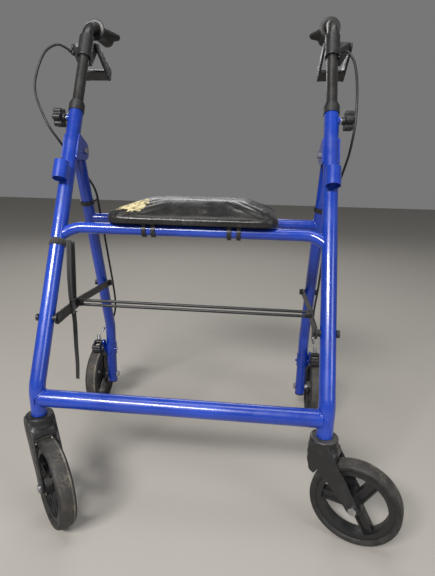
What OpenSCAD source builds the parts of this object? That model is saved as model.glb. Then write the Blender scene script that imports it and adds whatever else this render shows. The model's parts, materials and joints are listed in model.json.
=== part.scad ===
// Four-wheeled rollator walker with a folding rear frame, a flip-up padded seat, height-adjustable
// handles, cable brakes on the rear wheels and swivelling front casters.
// Millimetres. +Z is up, the casters are at the front (-Y) and the user walks at the back (+Y).
// The origin is on the floor, under the middle of the whole object.

/* [Side frames] */
// Half the distance between the two side frames, leg centre to leg centre
leg_x = 259; // [230:1:280]
// Outer radius of the front legs
leg_r = 14.3; // [12.7:0.1:15.9]
// Wall thickness of the steel tubes
tube_wall = 1.5; // [1:0.1:2.5]
// Lean of the upper front leg and the handle from vertical, in degrees
leg_lean = 26; // [22:1:28]
// Height of the front leg's lower end
leg_foot_z = 188; // [180:1:200]
// Height where the upright foot of the front leg meets its leaning part
leg_knee_z = 240; // [236:1:250]
// Length of the leaning part of the front leg
leg_length = 570; // [560:1:580]

/* [Rear frame] */
// Distance of the rear axle behind the caster stems
wheelbase = 386; // [370:1:400]
// Outer radius of the rear legs
rear_leg_r = 12.7; // [11:0.1:13]
// Height of the fold hinge
hinge_z = 664; // [655:1:670]
// Distance of the fold hinge behind the caster stems
hinge_y = 240; // [238:1:244]
// Height of the bend in the rear leg
rear_knee_z = 222; // [200:1:240]

/* [Handles] */
// Outer radius of the handle tube
handle_r = 11.1; // [9.5:0.1:11.5]
// Height of the middle of the hand grip
grip_z = 930; // [900:1:935]
// Distance of the grip's rear end behind the caster stems
grip_end_y = 458; // [440:1:470]

/* [Wheels] */
// Wheel radius, front and rear
wheel_r = 78; // [70:1:82]
// Tyre width
tyre_w = 30; // [26:1:32]
// Caster trail, from stem to axle
trail = 63; // [45:1:66]
// Swivel of the left caster, measured from +X
left_swivel = -47; // [-180:1:180]
// Swivel of the right caster, measured from +X
right_swivel = -22; // [-180:1:180]

/* [Seat] */
// Width of the seat pad
pad_w = 330; // [300:5:350]
// Depth of the seat pad
pad_d = 252; // [230:1:260]
// Height of the front seat tube
seat_tube_z = 515; // [505:1:525]

/* [Hidden] */
$fn = 64;

LEFT = -1;
RIGHT = 1;
play = 0.05;          // radial running clearance of every pin and shaft
gap = 0.4;            // side clearance between moving faces
overcut = 1;          // how far a cutting tool runs past a face
lap = 1;              // how far a straight run reaches into a tube's bend
swell = 0.15;         // how much thicker a tube is at its bends
skim = 0.03;          // weld and press gaps, too small to see

blue = "#1c3fc0";
black = "#1b1c1e";
steel = "#b9bdc2";

// where the side frames' lines run, all in one side plane: [y, z]
lean_dir = [0, sin(leg_lean), cos(leg_lean)];
function leg_at(s) = [0, s * sin(leg_lean), leg_knee_z + s * cos(leg_lean)];
function leg_s(z) = (z - leg_knee_z) / cos(leg_lean);
function leg_y(z) = (z - leg_knee_z) * tan(leg_lean);
knee_bend_r = 60;
knee_cut = knee_bend_r * tan(leg_lean / 2);

hinge = [0, hinge_y, hinge_z];
rear_slope = atan((wheelbase - hinge_y) / (hinge_z - rear_knee_z));
rear_knee_bend_r = 50;
rear_knee_cut = rear_knee_bend_r * tan(rear_slope / 2);
rear_leg_end_z = 60;
function rear_leg_y(z) = hinge_y + (hinge_z - z) * tan(rear_slope);

bolt_r = 4;
axle_r = 5;
axle_z = wheel_r;
wheel_x = leg_x + 33.5;           // middle plane of a rear wheel

handle_bend_r = 50;
handle_turn = 90 - leg_lean;
handle_cut = handle_bend_r * tan(handle_turn / 2);
handle_corner_s = leg_s(grip_z);
handle_foot_s = 420;
handle_bend_end_y = leg_y(grip_z) + handle_cut;

bar_r = 15.9;
bar_z = 220;
seat_tube_r = 11.1;
seat_tube_y = 142;
rear_seat_tube_z = 519;
board_z = rear_seat_tube_z + seat_tube_r + gap;
board_t = 6;

// the folding brace between the legs: front pivot, middle joint and rear pivot
brace_z = 355;
brace_front = [0, leg_y(brace_z), brace_z];
brace_rear = [0, rear_leg_y(brace_z - 3), brace_z - 3];
brace_mid = [0, 146, 360];
link_t = 3;
rear_link_x = 16.5;               // outer faces of the flat links, measured in from the leg's plane
front_link_x = rear_link_x + link_t + gap;

// everything is shifted so that the origin lies under the middle of the whole object
front_reach = (trail + wheel_r) * sin(-left_swivel) + 8;
back_reach = max(wheelbase + wheel_r, grip_end_y);
right_reach = leg_x + (trail + wheel_r) * cos(right_swivel) + 4;
left_reach = 341.5;
shift = [(left_reach - right_reach) / 2, (front_reach - back_reach) / 2, 0];

// ---------- building blocks ----------

module place(tint) {
    color(tint) translate(shift) children();
}

module at_side(side) {
    translate([side * leg_x, 0, 0]) children();
}

// a round bar from point a to point b
module bar(a, b, r) {
    d = b - a;
    len = norm(d);
    translate(a) rotate([0, acos(d[2] / len), atan2(d[1], d[0])]) cylinder(h = len, r = r);
}

// a round bar along X, centred on p
module x_bar(p, r, len) {
    translate(p) rotate([0, 90, 0]) cylinder(h = len, r = r, center = true);
}

// a round bar along X from x0 to x1, at [y, z]
module x_span(y, z, x0, x1, r) {
    translate([min(x0, x1), y, z]) rotate([0, 90, 0]) cylinder(h = abs(x1 - x0), r = r);
}

// part of a ring in the side plane; angles run from straight down towards the back
module elbow(centre, bend_r, start, sweep, r) {
    translate(centre) rotate([0, 90, 0]) rotate([0, 0, start])
        rotate_extrude(angle = sweep) translate([bend_r, 0]) circle(r = r);
}

// a flat plate in the side plane, t thick, drawn as [y, z] shapes and centred on x
module side_plate(x, t) {
    translate([x - t / 2, 0, 0]) rotate([90, 0, 90]) linear_extrude(height = t) children();
}

// the part of a bar's outline between two round ends, as one flat shape
module strap_outline(a, b, ra, rb) {
    hull() {
        translate([a[1], a[2]]) circle(r = ra);
        translate([b[1], b[2]]) circle(r = rb);
    }
}

// each bend is a hair thicker than the straight runs, which end a little inside it
module front_leg_core(r, extra) {
    bar([0, 0, leg_foot_z - extra], [0, 0, leg_knee_z - knee_cut + lap], r);
    elbow([0, knee_bend_r, leg_knee_z - knee_cut], knee_bend_r, -90 - leg_lean, leg_lean, r + swell);
    bar(leg_at(knee_cut - lap), leg_at(leg_length + extra), r);
}

module rear_leg_core(r, top, foot) {
    bend_top = rear_knee_z + (rear_knee_cut - lap) * cos(rear_slope);
    bar([0, rear_leg_y(top), top], [0, rear_leg_y(bend_top), bend_top], r);
    elbow([0, wheelbase - rear_knee_bend_r, rear_knee_z - rear_knee_cut], rear_knee_bend_r,
        90, rear_slope, r + swell);
    bar([0, wheelbase, foot], [0, wheelbase, rear_knee_z - rear_knee_cut + lap], r);
}

module handle_core(r, foot_s, end_y) {
    bar(leg_at(foot_s), leg_at(handle_corner_s - handle_cut + lap), r);
    elbow([0, handle_bend_end_y, grip_z - handle_bend_r], handle_bend_r, 180, handle_turn, r + swell);
    bar([0, handle_bend_end_y - lap, grip_z], [0, end_y, grip_z], r);
}

// ---------- front frame ----------

module front_leg(side) {
    place(blue) at_side(side) difference() {
        front_leg_core(leg_r, 0);
        front_leg_core(leg_r - tube_wall, overcut);
        x_bar(brace_front, bolt_r + 0.1, 3 * leg_r);
        x_span(knob_at[1], knob_at[2], 0, side * 2 * leg_r, bolt_r + 0.3);
    }
}

module left_front_leg() front_leg(LEFT);
module right_front_leg() front_leg(RIGHT);

module bottom_bar() {
    place(blue) difference() {
        x_bar([0, 0, bar_z], bar_r, 2 * (leg_x - 7));
        x_bar([0, 0, bar_z], bar_r - tube_wall, 2 * (leg_x - leg_r - 5));
        for (side = [LEFT, RIGHT]) at_side(side) front_leg_core(leg_r + skim, 0);
    }
}

module front_seat_tube() {
    place(blue) difference() {
        x_bar([0, seat_tube_y, seat_tube_z], seat_tube_r, 2 * (leg_x - 5));
        x_bar([0, seat_tube_y, seat_tube_z], seat_tube_r - tube_wall, 2 * (leg_x - leg_r - 5));
        for (side = [LEFT, RIGHT]) at_side(side) bar(leg_at(200), leg_at(400), leg_r + skim);
    }
}

socket_r = 14.3;
socket_bore_r = 12.8;
socket_len = 36;
socket_foot = leg_at(leg_s(594)) - [0, (leg_r + socket_r) * cos(leg_lean), -(leg_r + socket_r) * sin(leg_lean)];

module backrest_sockets() {
    place(blue) for (side = [LEFT, RIGHT]) at_side(side) difference() {
        bar(socket_foot, socket_foot + socket_len * lean_dir, socket_r);
        bar(socket_foot - lean_dir, socket_foot + (socket_len + 1) * lean_dir, socket_bore_r);
    }
}

bracket_t = 3;
bracket_in = rear_leg_r + 0.7;    // inner face of a hinge bracket plate, out from the leg's plane
bracket_r = 19;

module hinge_brackets() {
    place(blue) for (side = [LEFT, RIGHT]) at_side(side) for (face = [-1, 1]) difference() {
        side_plate(face * (bracket_in + bracket_t / 2), bracket_t) hull() {
            translate([hinge_y, hinge_z]) circle(r = bracket_r);
            translate([leg_y(hinge_z - 14), hinge_z - 14]) circle(r = 5);
            translate([leg_y(hinge_z + 26), hinge_z + 26]) circle(r = 5);
        }
        bar(leg_at(300), leg_at(leg_length), leg_r + skim);
        x_bar(hinge, bolt_r + play, 60);
    }
}

// a bolt along X with a head outside and a nut inside, both round-edged hexagons
module cross_bolt(p, side, inner, outer, r) {
    x_span(p[1], p[2], -side * (inner + 5), side * (outer + 1), r);
    x_span(p[1], p[2], side * outer, side * (outer + 5), r * 1.7);
    translate([-side * (inner + 2.5), p[1], p[2]]) rotate([0, 90, 0])
        cylinder(h = 5, r = r * 1.75, center = true, $fn = 6);
}

module hinge_bolts() {
    face = bracket_in + bracket_t;
    place(steel) for (side = [LEFT, RIGHT]) at_side(side) cross_bolt(hinge, side, face, face, bolt_r);
}

module front_brace_bolts() {
    place(steel) for (side = [LEFT, RIGHT]) at_side(side) {
        cross_bolt(brace_front, side, front_link_x + link_t + gap, leg_r, bolt_r);
        difference() {
            x_span(brace_front[1], brace_front[2], -side * (front_link_x - gap), 0, bolt_r + 2.5);
            bar(leg_at(0), leg_at(300), leg_r);
        }
    }
}

collar_s = leg_length - 14;
collar_top_s = leg_length + 8;
collar_r = 15.7;
sleeve_foot_s = 505;
knob_at = leg_at(543);
knob_stem = 25;                   // from the leg's plane to the knob's inner face

module tube_collars() {
    place(black) for (side = [LEFT, RIGHT]) at_side(side) difference() {
        union() {
            bar(leg_at(collar_s), leg_at(collar_top_s - 5), collar_r);
            bar(leg_at(collar_top_s - 5), leg_at(collar_top_s), collar_r - 2);
            bar(leg_at(sleeve_foot_s), leg_at(leg_length + skim), leg_r - tube_wall - skim);
        }
        difference() {
            bar(leg_at(collar_s - overcut), leg_at(leg_length + skim), leg_r + skim);
            bar(leg_at(sleeve_foot_s - overcut), leg_at(leg_length + 2 * skim), leg_r - tube_wall - skim);
        }
        bar(leg_at(sleeve_foot_s - overcut), leg_at(collar_top_s + overcut), handle_r + play);
        x_span(knob_at[1], knob_at[2], 0, side * 2 * leg_r, bolt_r + 0.3);
    }
}

module knob_nuts() {
    place(blue) for (side = [LEFT, RIGHT]) at_side(side) difference() {
        x_span(knob_at[1], knob_at[2], side * 8, side * 16.5, 7.5);
        bar(leg_at(500), leg_at(leg_length), leg_r);
        x_span(knob_at[1], knob_at[2], 0, side * 40, bolt_r + play);
    }
}

stem_r = 8;
bushing_top_z = 214;

module caster_bushings() {
    place(black) for (side = [LEFT, RIGHT]) at_side(side) difference() {
        bar([0, 0, leg_foot_z], [0, 0, bushing_top_z], leg_r - tube_wall);
        bar([0, 0, leg_foot_z - overcut], [0, 0, bushing_top_z + overcut], stem_r + play);
    }
}

// webbing: a loop round the left leg, two runs down to a loop round the brace link, and a hanging tail
strap_w = 13;
strap_t = 1.8;
strap_leg_s = leg_s(487);
strap_link_x = -leg_x + front_link_x + link_t / 2;
strap_front = [[120, 492], [113, 440], [112.4, 373]];
strap_back = [[134, 486], [131, 440], [127.8, 373]];
strap_tail = [[120, 346], [119, 270], [117, 200]];

// a flat band in a plane of constant x, following [y, z] points
module strap_run(points, full_w) {
    for (i = [0 : len(points) - 2]) {
        w = full_w - 0.3 * i;
        d = points[i + 1] - points[i];
        translate([strap_link_x, points[i][0], points[i][1]]) rotate([180 + atan2(d[0], -d[1]), 0, 0])
            translate([-w / 2, -strap_t / 2, -0.6]) cube([w, strap_t, norm(d) + 1.2]);
    }
}

module pull_strap() {
    place(black) {
        at_side(LEFT) difference() {
            bar(leg_at(strap_leg_s - strap_w / 2), leg_at(strap_leg_s + strap_w / 2), leg_r + strap_t);
            bar(leg_at(strap_leg_s - strap_w), leg_at(strap_leg_s + strap_w), leg_r + skim);
        }
        strap_run(strap_front, strap_w);
        strap_run(strap_back, strap_w - 0.2);
        translate([strap_link_x, 120, 359.5]) difference() {
            cube([7.2, 18, 28.4], center = true);
            cube([3.6, 20, 24.6], center = true);
        }
        strap_run(strap_tail, strap_w - 3);
    }
}

// ---------- rear frame ----------

boss_r = 12;
boss_len = 2 * (bracket_in - 0.3);

module rear_leg(side) {
    place(blue) at_side(side) difference() {
        union() {
            rear_leg_core(rear_leg_r, hinge_z - 6, rear_leg_end_z);
            x_bar(hinge, boss_r, boss_len);
        }
        rear_leg_core(rear_leg_r - tube_wall, hinge_z - 16, rear_leg_end_z - overcut);
        x_bar(hinge, bolt_r + play, boss_len + 2);
        x_bar([0, wheelbase, axle_z], axle_r + play, 40);
        x_bar(brace_rear, bolt_r + 0.1, 40);
    }
}

module left_rear_leg() rear_leg(LEFT);
module right_rear_leg() rear_leg(RIGHT);

rear_seat_tube_y = rear_leg_y(rear_seat_tube_z);

module rear_seat_tube() {
    place(blue) difference() {
        x_bar([0, rear_seat_tube_y, rear_seat_tube_z], seat_tube_r, 2 * (leg_x - 5));
        x_bar([0, rear_seat_tube_y, rear_seat_tube_z], seat_tube_r - tube_wall, 2 * (leg_x - rear_leg_r - 5));
        for (side = [LEFT, RIGHT]) at_side(side)
            bar([0, rear_leg_y(600), 600], [0, rear_leg_y(440), 440], rear_leg_r + skim);
    }
}

module rear_leg_plugs() {
    place(black) for (side = [LEFT, RIGHT]) at_side(side) {
        bar([0, wheelbase, rear_leg_end_z - 3], [0, wheelbase, rear_leg_end_z], rear_leg_r);
        bar([0, wheelbase, rear_leg_end_z], [0, wheelbase, rear_leg_end_z + 9], rear_leg_r - tube_wall);
    }
}

wheel_in = wheel_x - leg_x - tyre_w / 2;      // inner face of a rear wheel, out from the leg's plane
wheel_out = wheel_x - leg_x + tyre_w / 2;

module rear_axles() {
    place(steel) for (side = [LEFT, RIGHT]) at_side(side) {
        x_span(wheelbase, axle_z, -side * (rear_leg_r + 5), side * (wheel_out + 4), axle_r);
        x_span(wheelbase, axle_z, side * (wheel_out + gap), side * (wheel_out + 6), 9);
        translate([-side * (rear_leg_r + 2.5), wheelbase, axle_z]) rotate([0, 90, 0])
            cylinder(h = 5, r = 8.5, center = true, $fn = 6);
        difference() {
            x_span(wheelbase, axle_z, 0, side * (wheel_in - gap), 7.5);
            bar([0, wheelbase, rear_leg_end_z - 1], [0, wheelbase, 200], rear_leg_r);
        }
    }
}

// brake bracket: a clamp on the rear leg with an ear over the tyre that carries the brake arm
clamp_z = [140, 172];
arm_pivot = [0, wheelbase - 12, 176];
ear_x = [rear_leg_r + 1.1, rear_leg_r + 4.5];   // the ear's faces, out from the leg's plane
arm_pin_r = 3;

module brake_brackets() {
    place(steel) for (side = [LEFT, RIGHT]) at_side(side) difference() {
        union() {
            bar([0, wheelbase, clamp_z[0]], [0, wheelbase, clamp_z[1]], rear_leg_r + 2);
            side_plate(side * (ear_x[0] + ear_x[1]) / 2, ear_x[1] - ear_x[0]) hull() {
                translate([wheelbase, clamp_z[0] + 9]) circle(r = 8);
                translate([arm_pivot[1], arm_pivot[2]]) circle(r = 8);
            }
            x_span(arm_pivot[1], arm_pivot[2], side * ear_x[0], side * (ear_x[1] + 26), arm_pin_r);
            x_span(wheelbase - 6, (clamp_z[0] + clamp_z[1]) / 2, -side * (rear_leg_r + 6), side * ear_x[0], 3);
            bar([0, wheelbase - rear_leg_r - 5, 150], [0, wheelbase - rear_leg_r, 150], 4);
        }
        rear_leg_core(rear_leg_r, 240, rear_leg_end_z);
    }
}

module rear_brace_bolts() {
    place(steel) for (side = [LEFT, RIGHT]) at_side(side) {
        cross_bolt(brace_rear, side, rear_link_x + link_t + gap, rear_leg_r, bolt_r);
        difference() {
            x_span(brace_rear[1], brace_rear[2], -side * (rear_link_x - gap), 0, bolt_r + 2.5);
            rear_leg_core(rear_leg_r, hinge_z - 20, rear_leg_end_z);
        }
    }
}

ring_z = 556;

module cable_rings() {
    place(black) for (side = [LEFT, RIGHT]) at_side(side) {
        difference() {
            rear_leg_core_ring(rear_leg_r + 2.6, ring_z, 9);
            rear_leg_core_ring(rear_leg_r + skim, ring_z, 20);
        }
    }
}

module rear_leg_core_ring(r, z, h) {
    half = h / 2 * [0, -sin(rear_slope), cos(rear_slope)];
    middle = [0, rear_leg_y(z), z];
    bar(middle - half, middle + half, r);
}

// ---------- brake cables ----------

cable_r = 2.5;
cable_sides = 8;
cable_steps = 2;                  // rings between two route points

left_upper_route = [
    [-277, 295.5, 860], [-287, 285, 868], [-302, 272, 873], [-320, 259, 860], [-331, 248, 835],
    [-338, 236, 799], [-334, 226, 769], [-318, 215, 735], [-301, 209, 705], [-288, 218, 682], [-285.1, 239, 664.9]
];
left_lower_route = [
    [-285, 240.6, 663.4], [-285, 258, 648], [-275, 272, 632], [-258, 277, 612], [-245, 279, 592],
    [-240, 284, 574], [-239, 291, 552], [-240, 302, 527], [-240, 320, 480], [-240, 344, 410],
    [-240, 366, 345], [-243, 387, 285], [-255, 403, 242], [-272, 402, 216], [-284, 384, 204]
];
right_upper_route = [
    [272, 294, 852], [275, 284, 859], [281, 272, 859], [289, 262, 849], [296, 250, 830],
    [300, 236, 797], [301, 222, 758], [300, 213, 718], [298, 217, 686], [299, 239, 664.9]
];
right_lower_route = [
    [298.9, 240.6, 663.2], [296, 255, 641], [292, 264, 621], [286, 271, 600], [279, 277, 565],
    [275, 284, 511], [274, 302, 417], [274, 322, 362], [273, 346, 305], [276, 366, 250],
    [280, 378, 222], [284, 382, 204]
];

function spline(p, i, t) =
    let (a = p[max(i - 1, 0)], b = p[i], c = p[i + 1], d = p[min(i + 2, len(p) - 1)])
    0.5 * (2 * b + (c - a) * t + (2 * a - 5 * b + 4 * c - d) * t * t + (3 * b - a - 3 * c + d) * t * t * t);

function route(p, n) = [for (i = [0 : len(p) - 2]) for (k = [0 : n - 1]) spline(p, i, k / n), p[len(p) - 1]];

function unit(v) = v / norm(v);

function ring(c, t, r, sides) =
    let (u = unit(cross(t, [0.3, 1, 0.1])), w = cross(u, t))
    [for (k = [0 : sides - 1]) c + r * (cos(360 * k / sides) * u + sin(360 * k / sides) * w)];

module cable(points) {
    path = route(points, cable_steps);
    last = len(path) - 1;
    rings = [for (i = [0 : last])
        ring(path[i], unit(path[min(i + 1, last)] - path[max(i - 1, 0)]), cable_r, cable_sides)];
    n = cable_sides;
    skin = [for (i = [0 : last - 1]) for (k = [0 : n - 1])
        [i * n + k, i * n + (k + 1) % n, (i + 1) * n + (k + 1) % n, (i + 1) * n + k]];
    polyhedron(
        points = [for (r = rings) for (p = r) p],
        faces = concat([[for (k = [n - 1 : -1 : 0]) k]], skin, [[for (k = [0 : n - 1]) last * n + k]]));
}

module left_upper_cable() place(black) cable(left_upper_route);
module left_lower_cable() place(black) cable(left_lower_route);
module right_upper_cable() place(black) cable(right_upper_route);
module right_lower_cable() place(black) cable(right_lower_route);

// ---------- folding brace ----------

module front_links() {
    place(black) for (side = [LEFT, RIGHT]) at_side(side) difference() {
        side_plate(-side * (front_link_x + link_t / 2), link_t)
            strap_outline(brace_front, brace_mid, 11, 10);
        x_bar(brace_front, bolt_r + play, 60);
    }
}

// the rod joins the front links; the rear links only rest against its ends
module cross_rod() {
    end_x = leg_x - front_link_x - link_t;
    place(black) {
        x_bar(brace_mid + [0, 0, 4.5], 3, 2 * end_x);
        x_bar(brace_mid - [0, 0, 4.5], 3, 2 * end_x);
        for (side = [LEFT, RIGHT]) x_span(brace_mid[1], brace_mid[2], side * (end_x - 8), side * end_x, 8);
    }
}

module rear_links() {
    place(black) for (side = [LEFT, RIGHT]) at_side(side) difference() {
        side_plate(-side * (rear_link_x + link_t / 2), link_t)
            strap_outline(brace_mid, brace_rear, 8, 8);
        x_bar(brace_rear, bolt_r + play, 60);
    }
}

// ---------- handles and brake levers ----------

grip_r = 16;
grip_start_y = handle_bend_end_y + 3;
flange_r = 22;
wing_reach = 38;

module handle_tube(side) {
    place(black) at_side(side) difference() {
        handle_core(handle_r, handle_foot_s, grip_end_y - 12);
        handle_core(handle_r - tube_wall, handle_foot_s - overcut, grip_end_y - 13);
    }
}

module left_handle_tube() handle_tube(LEFT);
module right_handle_tube() handle_tube(RIGHT);

// rubber grip: a flange at the front, a round body, and a palm rest that reaches inwards at the back
module grip(side) {
    place(black) at_side(side) difference() {
        union() {
            bar([0, grip_start_y, grip_z], [0, grip_start_y + 7, grip_z], flange_r);
            bar([0, grip_start_y, grip_z], [0, grip_end_y - 6, grip_z], grip_r);
            translate([0, grip_end_y - 6, grip_z]) rotate([-90, 0, 0])
                cylinder(h = 6, r1 = grip_r, r2 = grip_r - 5);
            hull() {
                translate([0, grip_start_y + 22, grip_z + 6]) sphere(r = 9, $fn = 32);
                translate([0, grip_end_y - 12, grip_z + 4]) sphere(r = 11, $fn = 32);
                translate([-side * (wing_reach - 5), grip_end_y - 26, grip_z + 2]) sphere(r = 5, $fn = 32);
                translate([-side * (wing_reach - 9), grip_end_y - 14, grip_z + 2]) sphere(r = 5, $fn = 32);
            }
        }
        handle_core(handle_r, handle_foot_s, grip_end_y - 12);
    }
}

module left_grip() grip(LEFT);
module right_grip() grip(RIGHT);

lever_pivot = [0, 352, 887];
lever_tip = [0, 426, 856];
lever_heel = [0, 421, 842];
lever_in = -9;                    // inner arm's inner face, out from the handle's plane
lever_out = 41;                   // outer arm's inner face, out from the handle's plane
lever_t = 5;
lever_pin_r = 3;
cable_port = [[0, 302, 846], [0, 295, 852]];

module brake_housing(side) {
    place(black) at_side(side) difference() {
        union() {
            bar(leg_at(handle_corner_s - 84), leg_at(handle_corner_s - handle_cut - 2), 15);
            hull() {
                x_span(lever_pivot[1], lever_pivot[2], side * (lever_in + gap), side * (lever_out - gap), 10);
                x_span(leg_y(866), 866, -side * 8.5, side * 15, 9);
                x_span(leg_y(862) + 16, 850, -side * 8.5, side * 20, 7);
            }
            bar(cable_port[0] + [side * 7, 0, 0], cable_port[1] + [side * 12, 0, 0], 5);
        }
        handle_core(handle_r, handle_foot_s, grip_end_y - 12);
        bar([0, grip_start_y - 0.5, grip_z], [0, grip_end_y, grip_z], flange_r + 0.5);
        x_bar(lever_pivot, lever_pin_r + play, 120);
    }
}

module left_brake_housing() brake_housing(LEFT);
module right_brake_housing() brake_housing(RIGHT);

// loop lever: two arms from the pivot pin to a palm bar behind them
module brake_lever(side) {
    place(black) at_side(side) {
        for (x = [side * (lever_in - lever_t / 2), side * (lever_out + lever_t / 2)]) side_plate(x, lever_t) hull() {
            translate([lever_pivot[1], lever_pivot[2]]) circle(r = 9);
            translate([lever_tip[1], lever_tip[2]]) circle(r = 9);
            translate([lever_heel[1], lever_heel[2]]) circle(r = 8);
        }
        side_plate(side * (lever_in + lever_out) / 2, lever_out - lever_in + 2 * lever_t) hull() {
            translate([lever_tip[1] + 4, lever_tip[2]]) circle(r = 5);
            translate([lever_heel[1] + 2, lever_heel[2] - 2]) circle(r = 5);
            translate([lever_heel[1] - 22, lever_heel[2] + 7]) circle(r = 4);
        }
        x_span(lever_pivot[1], lever_pivot[2], side * (lever_in - 1), side * (lever_out + 1), lever_pin_r);
    }
}

module left_brake_lever() brake_lever(LEFT);
module right_brake_lever() brake_lever(RIGHT);

// ---------- clamping knobs ----------

knob_r = 20;
knob_t = 16;
knob_lobes = 6;

module knob(side) {
    place(black) at_side(side) difference() {
        union() {
            x_span(knob_at[1], knob_at[2], side * knob_stem, side * (knob_stem + knob_t), knob_r - 5);
            for (k = [0 : knob_lobes - 1]) {
                a = 360 * k / knob_lobes;
                x_span(knob_at[1] + (knob_r - 6) * cos(a), knob_at[2] + (knob_r - 6) * sin(a),
                    side * knob_stem, side * (knob_stem + knob_t), 6);
            }
            x_span(knob_at[1], knob_at[2], side * (knob_stem - 5), side * knob_stem, 8);
        }
        x_span(knob_at[1], knob_at[2], 0, side * (knob_stem + 10), bolt_r);
    }
}

module left_knob() knob(LEFT);
module right_knob() knob(RIGHT);

module knob_screw(side) {
    place(steel) at_side(side)
        x_span(knob_at[1], knob_at[2], side * (handle_r + 0.2), side * (knob_stem + 10), bolt_r);
}

module left_knob_screw() knob_screw(LEFT);
module right_knob_screw() knob_screw(RIGHT);

// ---------- front casters, drawn trailing along +X from the stem ----------

module at_caster(side, turn) {
    at_side(side) rotate([0, 0, turn]) children();
}

crown_r = 26;
crown_z = [158, 187];
fork_gap = tyre_w / 2 + 3.5;        // from the wheel's middle plane to a fork blade
blade_t = 6;
fork_boss_r = 11;

module caster_fork(side, turn) {
    place(black) at_caster(side, turn) difference() {
        union() {
            bar([0, 0, crown_z[0]], [0, 0, 172], crown_r);
            bar([0, 0, 172], [0, 0, crown_z[1]], crown_r - 1.5);
            for (face = [-1, 1]) hull() {
                translate([-2, face * (fork_gap + blade_t / 2), 166]) rotate([90, 0, 0])
                    cylinder(h = blade_t, r = 20, center = true);
                translate([trail, face * (fork_gap + blade_t / 2), axle_z]) rotate([90, 0, 0])
                    cylinder(h = blade_t, r = fork_boss_r, center = true);
            }
        }
        translate([0, 0, crown_z[1]]) cylinder(h = 30, r = 60);
        translate([trail, 0, axle_z]) rotate([90, 0, 0])
            cylinder(h = 2 * fork_gap, r = wheel_r + 4, center = true);
        translate([trail, 0, axle_z]) rotate([90, 0, 0]) cylinder(h = 80, r = axle_r, center = true);
        cylinder(h = 300, r = stem_r);
    }
}

module caster_stem(side, turn) {
    place(steel) at_caster(side, turn) {
        bar([0, 0, crown_z[0]], [0, 0, bushing_top_z - 2], stem_r);
    }
}

module caster_axle(side, turn) {
    end = fork_gap + blade_t;
    place(steel) at_caster(side, turn) translate([trail, 0, axle_z]) rotate([90, 0, 0]) {
        cylinder(h = 2 * end, r = axle_r, center = true);
        for (face = [-1, 1]) translate([0, 0, face * (end + 2)]) cylinder(h = 4, r = 7, center = true);
    }
}

module left_caster_fork() caster_fork(LEFT, left_swivel);
module right_caster_fork() caster_fork(RIGHT, right_swivel);
module left_caster_stem() caster_stem(LEFT, left_swivel);
module right_caster_stem() caster_stem(RIGHT, right_swivel);
module left_caster_axle() caster_axle(LEFT, left_swivel);
module right_caster_axle() caster_axle(RIGHT, right_swivel);

// ---------- wheels, drawn about the local Z axis ----------

rim_r = 66;
rim_in = 56;
hub_r = 15;
spokes = 3;
spoke_w = 18;
spoke_phase = 60;

module wheel_body(hub_w) {
    difference() {
        union() {
            cylinder(h = hub_w, r = hub_r, center = true);
            difference() {
                cylinder(h = tyre_w - 8, r = rim_r, center = true);
                cylinder(h = tyre_w, r = rim_in, center = true);
            }
            for (k = [0 : spokes - 1]) rotate([0, 0, spoke_phase + 360 * k / spokes]) {
                translate([(rim_in + 8) / 2, 0, 0]) cube([rim_in, spoke_w, 8], center = true);
                for (edge = [-1, 1]) translate([(rim_in + 8) / 2, edge * (spoke_w - 3) / 2, 0])
                    cube([rim_in, 3, 16], center = true);
            }
        }
        cylinder(h = hub_w + 2, r = axle_r + play, center = true);
    }
}

module tyre_body() {
    rotate_extrude() polygon([
        [rim_r, -tyre_w / 2 + 2], [wheel_r - 5, -tyre_w / 2], [wheel_r - 1.5, -tyre_w / 2 + 2.5],
        [wheel_r, -tyre_w / 2 + 7], [wheel_r, tyre_w / 2 - 7], [wheel_r - 1.5, tyre_w / 2 - 2.5],
        [wheel_r - 5, tyre_w / 2], [rim_r, tyre_w / 2 - 2]
    ]);
}

module at_front_wheel(side, turn) {
    at_caster(side, turn) translate([trail, 0, axle_z]) rotate([90, 0, 0]) children();
}

module at_rear_wheel(side) {
    translate([side * wheel_x, wheelbase, axle_z]) rotate([0, 90, 0]) children();
}

caster_hub_w = 2 * fork_gap - 2 * gap;
module left_front_wheel() place(black) at_front_wheel(LEFT, left_swivel) wheel_body(caster_hub_w);
module right_front_wheel() place(black) at_front_wheel(RIGHT, right_swivel) wheel_body(caster_hub_w);
module left_front_tyre() place(black) at_front_wheel(LEFT, left_swivel) tyre_body();
module right_front_tyre() place(black) at_front_wheel(RIGHT, right_swivel) tyre_body();
module left_rear_wheel() place(black) at_rear_wheel(LEFT) wheel_body(tyre_w);
module right_rear_wheel() place(black) at_rear_wheel(RIGHT) wheel_body(tyre_w);
module left_rear_tyre() place(black) at_rear_wheel(LEFT) tyre_body();
module right_rear_tyre() place(black) at_rear_wheel(RIGHT) tyre_body();

// ---------- rear brakes ----------

arm_x = [ear_x[1] + 1, ear_x[1] + 22];        // the arm's faces, out from the leg's plane
shoe_gap = 2.6;

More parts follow.
